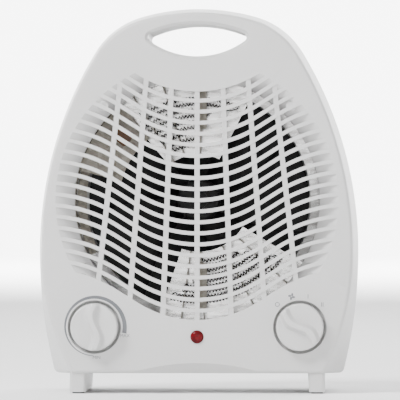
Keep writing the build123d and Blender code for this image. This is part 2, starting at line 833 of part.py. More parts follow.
with BuildPart() as mica_lining:
    with BuildSketch(fan_plane(ring_front + lining_setback)):
        add(ring_sector(throat_radius - seat_gap - board_thickness, throat_radius - seat_gap, *lining_angles))
    extrude(amount=-lining_depth)
mica_lining.part.label = "mica_lining"
export_step(mica_lining.part, "parts/mica_lining.step")

# Fan with its hub, blades, clip, shaft and rotor
with BuildPart() as fan:
    with BuildSketch(fan_plane(fan_front)):
        Circle(hub_radius)
    extrude(amount=-fan_depth)
    chamfer(fan.faces().sort_by(Axis.Y)[0].edges(), hub_edge)
    for index in range(blade_count):
        turn = math.radians(360 * index / blade_count)
        out = Vector(math.cos(turn), 0, math.sin(turn))
        around = Vector(-math.sin(turn), 0, math.cos(turn))
        chord = around * math.cos(math.radians(blade_pitch)) + Vector(0, 1, 0) * math.sin(math.radians(blade_pitch))
        blade_plane = Plane(origin=Vector(0, front_y + fan_front + fan_depth / 2, axis_height),
                            x_dir=out, z_dir=out.cross(chord))
        with BuildSketch(blade_plane):
            Polygon((hub_radius / 2, -root_chord / 2), (fan_radius + fan_depth, -tip_chord / 2),
                    (fan_radius + fan_depth, tip_chord / 2), (hub_radius / 2, root_chord / 2), align=None)
        extrude(amount=blade_thickness / 2, both=True)
    with BuildSketch(fan_plane(fan_front - hub_edge)):
        Circle(fan_radius)
        Circle(shaft_radius + running_gap, mode=Mode.SUBTRACT)
    extrude(amount=-(fan_depth + hub_edge), mode=Mode.INTERSECT)
fan.part.label = "fan"
export_step(fan.part, "parts/fan.step")

with BuildPart() as fan_clip:
    with BuildSketch(fan_plane(fan_front)):
        Circle(clip_radius)
        Circle(shaft_radius + running_gap, mode=Mode.SUBTRACT)
    extrude(amount=clip_thickness)
fan_clip.part.label = "fan_clip"
export_step(fan_clip.part, "parts/fan_clip.step")

with BuildPart() as motor_shaft:
    with BuildSketch(fan_plane(shaft_front)):
        Circle(shaft_radius)
    extrude(amount=shaft_front - shaft_end)
    chamfer(motor_shaft.edges().filter_by(GeomType.CIRCLE), shaft_edge)
motor_shaft.part.label = "motor_shaft"
export_step(motor_shaft.part, "parts/motor_shaft.step")

with BuildPart() as rotor:
    with BuildSketch(fan_plane(stack_front)):
        Circle(rotor_radius)
        Circle(shaft_radius + running_gap, mode=Mode.SUBTRACT)
    extrude(amount=-stack_length)
rotor.part.label = "rotor"
export_step(rotor.part, "parts/rotor.step")

# Stator: a laminated stack with the rotor bore above and the coil limb below
with BuildPart() as stator:
    with BuildSketch(fan_plane(stack_front)):
        with Locations((0, (stack_top - stack_bottom) / 2)):
            RectangleRounded(2 * stack_half_width, stack_top + stack_bottom, 4)
        with Locations((0, -stack_bottom + limb_height + window_height / 2)):
            Rectangle(2 * window_half_width, window_height, mode=Mode.SUBTRACT)
        Circle(rotor_radius + air_gap, mode=Mode.SUBTRACT)
        with Locations((-motor_screw_offset, 0), (motor_screw_offset, 0)):
            Circle(motor_screw_radius + running_gap, mode=Mode.SUBTRACT)
    extrude(amount=-stack_length)
stator.part.label = "stator"
export_step(stator.part, "parts/stator.step")

coil_wrap = 6.0
with BuildPart() as motor_winding:
    with BuildSketch(fan_plane(stack_front - coil_wrap)):
        with Locations((0, -stack_bottom + limb_height / 2)):
            RectangleRounded(2 * window_half_width - 2, limb_height + 2 * coil_wrap, 3)
    extrude(amount=-(stack_length + 2 * coil_wrap))
    with BuildSketch(fan_plane(stack_front)):
        with Locations((0, -stack_bottom + limb_height / 2)):
            Rectangle(2 * stack_half_width, limb_height + 2 * running_gap)
    extrude(amount=-stack_length, mode=Mode.SUBTRACT)
motor_winding.part.label = "motor_winding"
export_step(motor_winding.part, "parts/motor_winding.step")

# Motor bracket, a pressed cross that hangs the motor on the rear flange of the ring
bracket_front = ring_rear
bridge_depth = bracket_front + bracket_thickness + bearing_bracket_thickness
rear_bridge = stack_front + stack_length + bearing_bracket_height
with BuildPart() as motor_bracket:
    with BuildSketch(fan_plane(bracket_front)):
        Rectangle(motor_plate, motor_plate * 0.62)
        with PolarLocations(arm_radius / 2, 4):
            Rectangle(arm_radius, arm_width)
        with PolarLocations(arm_radius, 4):
            Circle(arm_width / 2 - 2.6)
        Circle(bearing_radius + 1, mode=Mode.SUBTRACT)
        with Locations((-motor_screw_offset, 0), (motor_screw_offset, 0)):
            Circle(motor_screw_radius + running_gap, mode=Mode.SUBTRACT)
        with PolarLocations(arm_radius, 4):
            Circle(screw_radius + running_gap, mode=Mode.SUBTRACT)
        Circle(ring_flange_radius, mode=Mode.INTERSECT)
    extrude(amount=-bracket_thickness)
motor_bracket.part.label = "motor_bracket"
export_step(motor_bracket.part, "parts/motor_bracket.step")

# Bearing brackets bridge the rotor in front of and behind the stack
bridges = (("front", bridge_depth, stack_front, 1), ("rear", rear_bridge, stack_front + stack_length, -1))
for name, bridge, seat, step in bridges:
    with BuildPart() as bearing_bracket:
        with BuildSketch(fan_plane(bridge)):
            RectangleRounded(2 * motor_screw_offset + 10, 16, 4)
            with Locations((-motor_screw_offset, 0), (motor_screw_offset, 0)):
                Circle(motor_screw_radius + running_gap, mode=Mode.SUBTRACT)
            Circle(bearing_radius - 2, mode=Mode.SUBTRACT)
        extrude(amount=step * bearing_bracket_thickness)
        with BuildSketch(fan_plane(bridge)):
            with Locations((-motor_screw_offset, 0), (motor_screw_offset, 0)):
                Circle(4.5)
                Circle(motor_screw_radius + running_gap, mode=Mode.SUBTRACT)
        extrude(amount=bridge - seat)
    bearing_bracket.part.label = name + "_bearing_bracket"
    export_step(bearing_bracket.part, "parts/" + name + "_bearing_bracket.step")

with BuildPart() as bearings:
    for name, bridge, seat, step in bridges:
        with BuildSketch(fan_plane(bridge)):
            Circle(bearing_radius - 2 - running_gap)
            Circle(shaft_radius + running_gap, mode=Mode.SUBTRACT)
        extrude(amount=step * bearing_bracket_thickness)
        with BuildSketch(fan_plane(bridge)):
            Circle(bearing_radius)
            Circle(shaft_radius + running_gap, mode=Mode.SUBTRACT)
        extrude(amount=-step * 3.0)
bearings.part.label = "bearings"
export_step(bearings.part, "parts/bearings.step")

motor_screw_head = rear_bridge + bearing_bracket_thickness
with BuildPart() as motor_screws:
    add(screws([(-motor_screw_offset, axis_height), (motor_screw_offset, axis_height)], motor_screw_head,
               motor_screw_head - bracket_front, 3.4, motor_screw_radius))
motor_screws.part.label = "motor_screws"
export_step(motor_screws.part, "parts/motor_screws.step")

with BuildPart() as bracket_screws:
    add(screws(around_fan(arm_radius, (0, 90, 180, 270)), bracket_front + bracket_thickness, 5.0))
bracket_screws.part.label = "bracket_screws"
export_step(bracket_screws.part, "parts/bracket_screws.step")

# Thermal cut-out on the mica plate
with BuildPart() as thermal_cutout:
    with BuildSketch(fan_plane(board_front + plate_setback)):
        with PolarLocations(cutout_radius, 1, start_angle=cutout_angle):
            RectangleRounded(cutout_length, cutout_width, cutout_corner)
    extrude(amount=cutout_height)
thermal_cutout.part.label = "thermal_cutout"
export_step(thermal_cutout.part, "parts/thermal_cutout.step")

# Cord gland and clamp at the mains inlet, and the terminal block beside it
gland_plane = Plane(origin=(inlet_offset, rear_y, inlet_height), x_dir=(1, 0, 0), z_dir=(0, -1, 0))
with BuildPart() as cord_gland:
    with BuildSketch(gland_plane.offset(-gland_stand_out)):
        Circle(gland_flange)
    extrude(amount=gland_stand_out)
    with BuildSketch(gland_plane):
        Circle(gland_radius)
    extrude(amount=gland_length)
    with BuildSketch(gland_plane.offset(-gland_stand_out)):
        Circle(gland_bore)
    extrude(amount=gland_length + gland_stand_out, mode=Mode.SUBTRACT)
cord_gland.part.label = "cord_gland"
export_step(cord_gland.part, "parts/cord_gland.step")

with BuildPart() as terminal_block:
    with BuildSketch(Plane.XY.offset(base_height + wall)):
        with Locations((10, parting_y + 40)):
            Rectangle(34, 16)
    extrude(amount=12)
    add(rear_form(wall), mode=Mode.INTERSECT)
    with BuildSketch(Plane.XY.offset(base_height + wall + 12)):
        with Locations((10, parting_y + 40)):
            with GridLocations(11, 0, 3, 1):
                Circle(2.2)
    extrude(amount=-6, mode=Mode.SUBTRACT)
terminal_block.part.label = "terminal_block"
export_step(terminal_block.part, "parts/terminal_block.step")
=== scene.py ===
import json
import math
import random

import bmesh
import bpy
from mathutils import Matrix, Vector


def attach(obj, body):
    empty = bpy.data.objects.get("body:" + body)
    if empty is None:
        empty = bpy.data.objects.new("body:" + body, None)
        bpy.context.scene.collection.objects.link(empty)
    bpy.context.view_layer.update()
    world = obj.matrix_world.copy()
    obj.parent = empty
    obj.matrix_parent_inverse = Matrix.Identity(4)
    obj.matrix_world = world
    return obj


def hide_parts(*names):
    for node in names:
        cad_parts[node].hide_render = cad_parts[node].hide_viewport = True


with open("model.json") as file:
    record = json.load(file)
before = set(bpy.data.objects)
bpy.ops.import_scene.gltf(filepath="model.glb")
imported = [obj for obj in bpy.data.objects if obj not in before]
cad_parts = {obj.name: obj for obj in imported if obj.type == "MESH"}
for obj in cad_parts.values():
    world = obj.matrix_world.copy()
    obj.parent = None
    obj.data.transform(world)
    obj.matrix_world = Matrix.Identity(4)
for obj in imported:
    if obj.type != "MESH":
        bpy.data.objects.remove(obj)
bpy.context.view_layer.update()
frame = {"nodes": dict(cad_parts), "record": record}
nodes = frame["nodes"]
print("stage: frame loaded,", len(nodes), "nodes")

frontY = -0.05225  # flat front face of the heater
partingY = -0.00625  # where the front and rear covers meet
axisZ = 0.1324  # height of the fan's axis
dials = {"x": 0.0703, "z": 0.0456}  # middles of the two dials, out from the centre and up


# wraps a socket, so that shader maths reads as a plain expression
class Value:
    def __init__(self, finish, socket):
        self.finish = finish
        self.socket = socket

    def sum(self, operation, first, second):
        return self.finish.node("Math", {"operation": operation}, {0: first, 1: second})

    def __add__(self, other):
        return self.sum("ADD", self, other)

    def __radd__(self, other):
        return self.sum("ADD", other, self)

    def __sub__(self, other):
        return self.sum("SUBTRACT", self, other)

    def __rsub__(self, other):
        return self.sum("SUBTRACT", other, self)

    def __mul__(self, other):
        return self.sum("MULTIPLY", self, other)

    def __rmul__(self, other):
        return self.sum("MULTIPLY", other, self)

    def __abs__(self):
        return self.sum("ABSOLUTE", self, 0.0)


# one material, with the patterns its finish is mixed from
class Finish:
    def __init__(self, name, **fixed):
        self.material = bpy.data.materials.new(name)
        self.material.use_nodes = True
        self.tree = self.material.node_tree
        self.shader = self.tree.nodes["Principled BSDF"]
        for key, value in fixed.items():
            self.shader.inputs[key.replace("_", " ")].default_value = value
        self.place = self.node("TexCoord", out="Object")

    def node(self, kind, settings=None, sockets=None, out=0):
        made = self.tree.nodes.new("ShaderNode" + kind)
        for key, value in (settings or {}).items():
            if key == "stops":
                while len(made.color_ramp.elements) < len(value):
                    made.color_ramp.elements.new(0.5)
                for element, (at, colour) in zip(made.color_ramp.elements, value):
                    element.position = at
                    element.color = colour
            else:
                setattr(made, key, value)
        for key, value in (sockets or {}).items():
            if isinstance(value, Value):
                self.tree.links.new(value.socket, made.inputs[key])
            else:
                made.inputs[key].default_value = value
        return Value(self, made.outputs[out])

    def noise(self, scale, detail=4.0, rough=0.5, stretch=(1, 1, 1)):
        where = self.node("Mapping", None, {"Vector": self.place, "Scale": stretch})
        return self.node("TexNoise", None, {"Vector": where, "Scale": scale, "Detail": detail, "Roughness": rough})

    def range(self, value, low, high, start=0.0, end=1.0):
        return self.node("MapRange", {"interpolation_type": "SMOOTHSTEP"},
                         {"Value": value, "From Min": low, "From Max": high, "To Min": start, "To Max": end})

    def blend(self, factor, first, second):
        return self.node("Mix", {"data_type": "RGBA"}, {0: factor, 6: first, 7: second}, out=2)

    def axis(self, letter):
        return self.node("SeparateXYZ", None, {"Vector": self.place}, out=letter)

    def feed(self, **links):
        for key, value in links.items():
            self.tree.links.new(value.socket, self.shader.inputs[key.replace("_", " ")])
        return self

    def bump(self, height, strength, distance):
        return self.feed(Normal=self.node("Bump", None, {"Height": height, "Strength": strength,
                                                         "Distance": distance}))


def grey(level, warm=0.0):
    return (level * (1 + warm), level, level * (1 - warm), 1.0)


moulded = {"cloudScale": 9.0, "flowScale": 30.0, "flowStretch": (1, 1, 0.25), "shade": 0.965, "bump": 0.16,
           "bumpDepth": 0.00018, "grooveInner": 0.00012, "grooveOuter": 0.00034, "grooveShade": 0.25,
           "grooveShare": 0.75, "grooveDepth": 3.0}


# moulded plastic; a seam draws the dark groove where the two covers meet
def makeMoulded(name, level, rough, grain, seam):
    look = Finish(name, Specular_IOR_Level=0.5, Coat_Roughness=0.25)
    cloud = look.noise(moulded["cloudScale"], 3.0, 0.5)
    speck = look.noise(grain, 3.0, 0.6)
    flow = look.noise(moulded["flowScale"], 4.0, 0.55, moulded["flowStretch"])
    base = look.blend(look.range(cloud, 0.3, 0.7), grey(level, 0.004), grey(level * moulded["shade"], 0.008))
    height = speck * 0.5 + flow * 0.6
    if seam:
        groove = look.range(abs(look.axis("Y") - partingY), moulded["grooveInner"], moulded["grooveOuter"], 1.0, 0.0)
        base = look.blend(groove * moulded["grooveShare"], base, grey(level * moulded["grooveShade"]))
        height = height - groove * moulded["grooveDepth"]
    look.feed(Base_Color=base, Roughness=look.range(speck, 0.2, 0.8, rough - 0.05, rough + 0.07))
    return look.bump(height, moulded["bump"], moulded["bumpDepth"])


polished = {"streakScale": 60.0, "streakStretch": (1, 1, 6), "dentScale": 22.0, "bright": 0.95, "dim": 0.62,
            "smooth": 0.1, "rough": 0.26, "bump": 0.5, "bumpDepth": 0.0014}


# thin polished sheet, a little dented and streaked
def makePolished(name):
    look = Finish(name, Metallic=1.0)
    streak = look.noise(polished["streakScale"], 5.0, 0.6, polished["streakStretch"])
    dent = look.noise(polished["dentScale"], 2.0, 0.4)
    base = look.blend(look.range(streak, 0.3, 0.7), grey(polished["bright"], 0.004), grey(polished["dim"], 0.02))
    look.feed(Base_Color=base, Roughness=look.range(streak, 0.25, 0.8, polished["smooth"], polished["rough"]))
    return look.bump(dent * 0.8 + streak * 0.2, polished["bump"], polished["bumpDepth"])


mica = {"flakeScale": 420.0, "cloudScale": 70.0, "bump": 0.3, "bumpDepth": 0.0002,
        "colours": [(0.0, (0.20, 0.17, 0.13, 1)), (0.5, (0.36, 0.33, 0.27, 1)), (1.0, (0.52, 0.49, 0.43, 1))]}


# pressed mica board, in flakes
def makeMica(name):
    look = Finish(name, Specular_IOR_Level=0.6)
    flake = look.node("TexVoronoi", {"feature": "F1"}, {"Vector": look.place, "Scale": mica["flakeScale"]},
                      out="Color")
    level = look.node("SeparateColor", None, {"Color": flake}, out="Red")
    cloud = look.noise(mica["cloudScale"], 5.0, 0.6)
    base = look.node("ValToRGB", {"stops": mica["colours"]}, {"Fac": level * 0.55 + cloud * 0.45})
    look.feed(Base_Color=base, Roughness=look.range(level, 0.0, 1.0, 0.28, 0.6))
    return look.bump(level * 0.6 + cloud, mica["bump"], mica["bumpDepth"])


metal = {"stainScale": 90.0, "stainShade": 0.72, "bump": 0.25, "bumpDepth": 0.00012}


def makeMetal(name, colour, rough, scale):
    look = Finish(name, Metallic=1.0)
    streak = look.noise(scale, 5.0, 0.6)
    stain = look.noise(metal["stainScale"], 4.0, 0.6)
    dark = tuple(part * metal["stainShade"] for part in colour[:3]) + (1.0,)
    look.feed(Base_Color=look.blend(look.range(stain, 0.4, 0.75), colour, dark),
              Roughness=look.range(streak, 0.2, 0.8, rough - 0.08, rough + 0.12))
    return look.bump(streak, metal["bump"], metal["bumpDepth"])


dull = {"cloudScale": 40.0, "lift": 1.25, "liftFloor": 0.001, "bumpDepth": 0.00015}


# rubber, plain plastics, ceramic, glass and ink
def makeDull(name, colour, rough, scale, strength=0.25):
    look = Finish(name, Specular_IOR_Level=0.45)
    grain = look.noise(scale, 4.0, 0.6)
    cloud = look.noise(dull["cloudScale"], 3.0, 0.5)
    pale = tuple(min(1.0, part * dull["lift"] + dull["liftFloor"]) for part in colour[:3]) + (1.0,)
    look.feed(Base_Color=look.blend(look.range(cloud, 0.3, 0.7), colour, pale),
              Roughness=look.range(grain, 0.2, 0.8, rough - 0.07, rough + 0.1))
    return look.bump(grain, strength, dull["bumpDepth"])


lens = {"height": 0.0389, "ringScale": 420.0, "cloudScale": 260.0, "deep": (0.05, 0.0, 0.001, 1),
        "bright": (0.12, 0.0004, 0.003, 1), "bump": 0.12, "bumpDepth": 0.0001}


# red pilot lens, with fine rings round its middle
def makeLens():
    look = Finish("redLensPlastic", Specular_IOR_Level=0.22, IOR=1.45)
    where = look.node("Mapping", None, {"Vector": look.place, "Location": (0, 0, -lens["height"])})
    ring = look.node("TexWave", {"wave_type": "RINGS", "rings_direction": "Y"},
                     {"Vector": where, "Scale": lens["ringScale"]})
    cloud = look.noise(lens["cloudScale"], 3.0, 0.5)
    look.feed(Base_Color=look.blend(look.range(cloud, 0.3, 0.75), lens["deep"], lens["bright"]),
              Roughness=look.range(cloud, 0.2, 0.8, 0.1, 0.2))
    return look.bump(ring, lens["bump"], lens["bumpDepth"])


laminated = {"sheetScale": 640.0, "rustScale": 160.0, "dark": 0.16, "pale": 0.34, "rust": (0.16, 0.09, 0.05, 1),
             "rustShare": 0.5, "bump": 0.5, "bumpDepth": 0.0003}


# motor core, a stack of thin sheets that lies along the heater's depth
def makeLaminated():
    look = Finish("laminatedSteel", Metallic=1.0)
    sheet = look.node("TexWave", {"wave_type": "BANDS", "bands_direction": "Y"},
                      {"Vector": look.place, "Scale": laminated["sheetScale"], "Distortion": 0.4, "Detail": 2.0})
    rust = look.noise(laminated["rustScale"], 4.0, 0.6)
    base = look.blend(look.range(sheet, 0.3, 0.7), grey(laminated["dark"]), grey(laminated["pale"]))
    look.feed(Base_Color=look.blend(look.range(rust, 0.6, 0.8) * laminated["rustShare"], base, laminated["rust"]),
              Roughness=look.range(sheet, 0.0, 1.0, 0.55, 0.32))
    return look.bump(sheet, laminated["bump"], laminated["bumpDepth"])


tape = {"lapScale": 60.0, "cloudScale": 200.0, "dark": (0.52, 0.37, 0.06, 1), "pale": (0.66, 0.50, 0.11, 1),
        "bump": 0.5, "bumpDepth": 0.0003}


# yellow tape lapped round the motor's coil
def makeTape():
    look = Finish("coilTape", Specular_IOR_Level=0.5)
    lap = look.node("TexWave", {"wave_type": "BANDS", "bands_direction": "X"},
                    {"Vector": look.place, "Scale": tape["lapScale"], "Distortion": 0.6, "Detail": 1.0})
    cloud = look.noise(tape["cloudScale"], 4.0, 0.6)
    look.feed(Base_Color=look.blend(look.range(lap, 0.1, 0.9), tape["dark"], tape["pale"]),
              Roughness=look.range(cloud, 0.2, 0.8, 0.24, 0.4))
    return look.bump(lap + cloud * 0.2, tape["bump"], tape["bumpDepth"])


# finish of each material slot in the record
finishes = {
    "white_plastic": makeMoulded("housingPlastic", 0.56, 0.36, 1500.0, True),
    "knob_plastic": makeMoulded("knobPlastic", 0.57, 0.30, 1900.0, False),
    "rubber": makeDull("padRubber", (0.022, 0.021, 0.02, 1), 0.72, 900.0),
    "black_plastic": makeDull("blackMoulding", (0.0025, 0.0025, 0.0025, 1), 0.6, 700.0),
    "ceramic_block": makeDull("glazedBlock", (0.62, 0.58, 0.50, 1), 0.55, 1100.0),
    "zinc_steel": makeMetal("zincPlate", (0.60, 0.60, 0.57, 1), 0.34, 420.0),
    "red_lens": makeLens(),
    "clear_glass": makeDull("lampGlass", (0.55, 0.28, 0.2, 1), 0.12, 300.0, 0.05),
    "polished_sheet": makePolished("polishedSheet"),
    "mica": makeMica("pressedMica"),
    "resistance_wire": makeMetal("oxidisedWire", (0.035, 0.030, 0.026, 1), 0.55, 900.0),
    "orange_plastic": makeDull("cutoutCase", (0.13, 0.06, 0.025, 1), 0.42, 600.0),
    "core_steel": makeLaminated(),
    "winding_tape": makeTape(),
    "bronze": makeMetal("sinteredBronze", (0.50, 0.33, 0.14, 1), 0.5, 1400.0),
    "block_plastic": makeDull("terminalNylon", (0.66, 0.66, 0.61, 1), 0.4, 800.0),
}
printInk = makeDull("printInk", (0.115, 0.12, 0.13, 1), 0.55, 1500.0, 0.1)
blackenedSteel = makeMetal("blackenedSteel", (0.03, 0.03, 0.03, 1), 0.45, 420.0)

for part in frame["record"]["subparts"]:
    mesh = nodes[part["node"]].data
    if not mesh.materials:
        mesh.materials.append(None)
    for index in range(len(mesh.materials)):
        mesh.materials[index] = finishes[part["material_slot"]].material
for node in ("fan_clip", "motor_shaft"):
    nodes[node].data.materials[0] = blackenedSteel.material
print("stage: finishes made")


# puts a finished mesh on its body, in place of the solids it is given
def link(mesh, name, finish, body, replaced=()):
    mesh.name = name
    mesh.materials.clear()
    mesh.materials.append(finish.material)
    piece = bpy.data.objects.new(name, mesh)
    bpy.context.scene.collection.objects.link(piece)
    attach(piece, body)
    if replaced:
        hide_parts(*replaced)
    return piece


def fromBmesh(form, smoothAngle):
    mesh = bpy.data.meshes.new("shape")
    bmesh.ops.recalc_face_normals(form, faces=form.faces)
    form.to_mesh(mesh)
    form.free()
    mesh.polygons.foreach_set("use_smooth", [True] * len(mesh.polygons))
    mesh.set_sharp_from_angle(angle=math.radians(smoothAngle))
    return mesh


# a copy of a solid's loose triangles, joined along their edges
def merged(node):
    form = bmesh.new()
    form.from_mesh(nodes[node].data)
    bmesh.ops.remove_doubles(form, verts=form.verts, dist=1e-6)
    return form


# mouldings copied from the solids: solid, finish and the angle up to which faces are shaded smooth
mouldings = {
    "frontCover": ("front_cover", "white_plastic", 12),
    "rearCover": ("rear_cover", "white_plastic", 12),
    "leftFoot": ("left_foot", "white_plastic", 30),
    "rightFoot": ("right_foot", "white_plastic", 30),
    "reflectorRing": ("reflector_ring", "polished_sheet", 30),
    "cordGland": ("cord_gland", "black_plastic", 30),
}
for name, (node, slot, angle) in mouldings.items():
    link(fromBmesh(merged(node), angle), name, finishes[slot], "housing", [node])
print("stage: mouldings smoothed")

# knobs, a dished face with an S-shaped ridge across it; the grid's rows run over the face, round the rim,
# down the wall and up inside it
knobs = {"radius": 0.0164, "back": 0.0041, "face": 0.0109, "rimDrop": 0.0017, "rimRound": 0.0009, "wall": 0.0016,
         "ridge": 0.0013, "bulge": 0.0025, "tip": 0.0150, "valley": 0.0044, "slope": 0.0034, "around": 144,
         "rings": 34, "rimSteps": 3, "inset": 0.0004, "inside": 0.002, "fillStart": 0.003, "fillWidth": 0.010,
         "fill": 0.42, "rimShare": 0.14, "smooth": 40}


# height of the knob's face at a point across and up from its middle
def knobFace(across, up):
    middle = -knobs["bulge"] * math.sin(math.pi * up / knobs["tip"])
    gap = abs(across - middle)
    side = min(1.0, max(0.0, (gap - knobs["ridge"]) / knobs["slope"]))
    side = side * side * (3 - 2 * side)
    out = min(1.0, math.hypot(across, up) / knobs["radius"])
    recover = max(0.0, min(1.0, (gap - knobs["fillStart"]) / knobs["fillWidth"]))
    low = knobs["valley"] * (1 - knobs["fill"] * recover) * side
    edge = max(0.0, (out - (1 - knobs["rimShare"])) / knobs["rimShare"])
    return knobs["face"] - low - (knobs["rimDrop"] * (1 - side)) * edge ** 2


knobRows = knobs["rings"] + knobs["rimSteps"] + 3
wallRows = {1: (knobs["radius"], -knobs["back"]), 2: (knobs["radius"] - knobs["wall"], -knobs["back"]),
            3: (knobs["radius"] - knobs["wall"], knobs["inside"])}
for name, node, body, x, turn in (("thermostatKnob", "thermostat_knob", "thermostat_dial", -dials["x"], 0),
                                  ("switchKnob", "switch_knob", "switch_dial", dials["x"], 45)):
    form = bmesh.new()
    bmesh.ops.create_grid(form, x_segments=knobs["around"], y_segments=knobRows, size=0.5)
    inner = knobs["radius"] - knobs["inset"] - knobs["rimRound"]
    for vert in form.verts:
        angle = 2 * math.pi * (vert.co.x + 0.5)
        ring = round((vert.co.y + 0.5) * knobRows)
        past = ring - knobs["rings"]
        radius = inner * min(1.0, ring / knobs["rings"])
        height = knobFace(radius * math.sin(angle), radius * math.cos(angle))
        if past > 0:
            bend = math.pi / 2 * min(1.0, past / knobs["rimSteps"])
            radius += knobs["rimRound"] * math.sin(bend)
            height -= knobs["rimRound"] * (1 - math.cos(bend))
        radius, height = wallRows.get(past - knobs["rimSteps"], (radius, height))
        vert.co = (radius * math.sin(angle), radius * math.cos(angle), height)
    bmesh.ops.remove_doubles(form, verts=form.verts, dist=1e-6)
    bmesh.ops.holes_fill(form, edges=[edge for edge in form.edges if edge.is_boundary], sides=0)
    mesh = fromBmesh(form, knobs["smooth"])
    mesh.transform(Matrix.Translation((x, frontY, dials["z"])) @ Matrix.Rotation(math.pi / 2, 4, "X")
                   @ Matrix.Rotation(math.radians(turn), 4, "Z"))
    link(mesh, name, finishes["knob_plastic"], body, [node])
print("stage: knobs")

# fan wheel, wide twisted blades that overlap as seen from the front
fanWheel = {"blades": 7, "hub": 0.015, "reach": 0.0764, "front": 0.0405, "back": 0.0575, "thickness": 0.0014,
            "hubEdge": 0.003, "hubSides": 64, "root": 0.9, "span": 61.0, "sweep": 14, "depthShare": 0.98,
            "tipLess": 0.1, "waist": 0.15, "cup": 0.0008, "columns": 12, "rows": 9}

form = bmesh.new()
hubRoot = fanWheel["hub"] * fanWheel["root"]  # the blades start inside the hub
hubDepth = fanWheel["back"] - fanWheel["front"]
hub = bmesh.ops.create_cone(form, cap_ends=True, segments=fanWheel["hubSides"], radius1=fanWheel["hub"],
                            radius2=fanWheel["hub"], depth=hubDepth)["verts"]
bmesh.ops.rotate(form, cent=(0, 0, 0), matrix=Matrix.Rotation(math.pi / 2, 3, "X"), verts=hub)
front = [edge for edge in form.edges if all(vert.co.y < -hubDepth / 2 + 1e-5 for vert in edge.verts)]
bmesh.ops.bevel(form, geom=front, offset=fanWheel["hubEdge"], offset_type="OFFSET", segments=5, profile=0.5,
                affect="EDGES", material=-1)
for index in range(fanWheel["blades"]):
    sheet = bmesh.new()
    bmesh.ops.create_grid(sheet, x_segments=fanWheel["columns"], y_segments=fanWheel["rows"], size=0.5)
    for vert in sheet.verts:
        out = vert.co.x + 0.5
        radius = hubRoot + (fanWheel["reach"] - hubRoot) * out
        lean = math.radians(fanWheel["span"] * vert.co.y + fanWheel["sweep"] * out + 360 * index / fanWheel["blades"])
        depth = hubDepth * vert.co.y * (fanWheel["depthShare"] - fanWheel["tipLess"] * out)
        rise = depth * (1 - fanWheel["waist"] * math.sin(math.pi * out))
        cup = fanWheel["cup"] * math.cos(math.pi * vert.co.y)
        vert.co = (radius * math.cos(lean), rise + cup, radius * math.sin(lean))
    bmesh.ops.recalc_face_normals(sheet, faces=sheet.faces)
    bmesh.ops.solidify(sheet, geom=sheet.faces, thickness=fanWheel["thickness"])
    bladeMesh = bpy.data.meshes.new("blade")
    sheet.to_mesh(bladeMesh)
    sheet.free()
    form.from_mesh(bladeMesh)
    bpy.data.meshes.remove(bladeMesh)
bmesh.ops.translate(form, vec=(0, frontY + (fanWheel["front"] + fanWheel["back"]) / 2, axisZ), verts=form.verts)
link(fromBmesh(form, 35), "fanWheel", finishes["black_plastic"], "fan_rotor", ["fan"])
print("stage: fan")

# pilot lens, copied from its solid and shaded smooth
link(fromBmesh(merged("pilot_lens"), 50), "pilotLens", finishes["red_lens"], "housing", ["pilot_lens"])

# polished cone that narrows the ring to the fan, and the mica lining on its left
cone = {"front": 0.0368, "back": 0.0388, "wide": 0.0837, "narrow": 0.0776, "sheet": 0.0004, "steps": 180,
        "liningStart": 157, "liningEnd": 207, "liningAhead": 0.0012, "liningSheet": 0.0008, "liningSteps": 40}


# a stretch of the cone from one angle to another, moved ahead of it and given a thickness
def tapered(start, end, steps, ahead, thickness, full):
    form = bmesh.new()
    slim = (cone["wide"] - cone["narrow"]) / (cone["back"] - cone["front"])
    rows = [form.verts.new((cone["wide"] - slim * depth, depth + cone["front"] - ahead, 0))
            for depth in (0, cone["back"] - cone["front"])]
    form.edges.new(rows)
    bmesh.ops.rotate(form, cent=(0, 0, 0), matrix=Matrix.Rotation(-math.radians(start), 3, "Y"), verts=form.verts)
    bmesh.ops.spin(form, geom=form.verts[:] + form.edges[:], cent=(0, 0, 0), axis=(0, 1, 0), dvec=(0, 0, 0),
                   angle=-math.radians(end - start), steps=steps, use_merge=full, use_duplicate=False)
    bmesh.ops.recalc_face_normals(form, faces=form.faces)
    bmesh.ops.solidify(form, geom=form.faces, thickness=thickness)
    bmesh.ops.translate(form, vec=(0, frontY, axisZ), verts=form.verts)
    return fromBmesh(form, 30)


link(tapered(0, 360, cone["steps"], 0, cone["sheet"], True), "ringCone", finishes["polished_sheet"], "housing")
link(tapered(cone["liningStart"], cone["liningEnd"], cone["liningSteps"], cone["liningAhead"],
             cone["liningSheet"], False),
     "micaLining", finishes["mica"], "housing", ["mica_lining"])
print("stage: cone")

# heating wires, crinkled and laid in rows round the fan's axis: radius in mm, and the angles a row runs between
heater = {
    "radius": 0.00042, "swing": 0.0022, "leastSwing": 0.86, "step": 0.00112, "depth": 0.0184, "ripple": 0.0012,
    "upper": [(38, 93, 116), (42, 92, 119), (46, 92, 121), (50, 91, 123), (54, 90, 125), (58, 88, 126),
              (62, 82, 127), (66, 74, 126), (70, 66, 124)],
    "lower": [(42, 274, 302), (45.5, 272, 308), (49, 270, 312), (52.5, 269, 316), (56, 266, 319),
              (59.5, 263, 321), (63, 260, 323), (66.5, 257, 325), (70, 254, 326)],
}


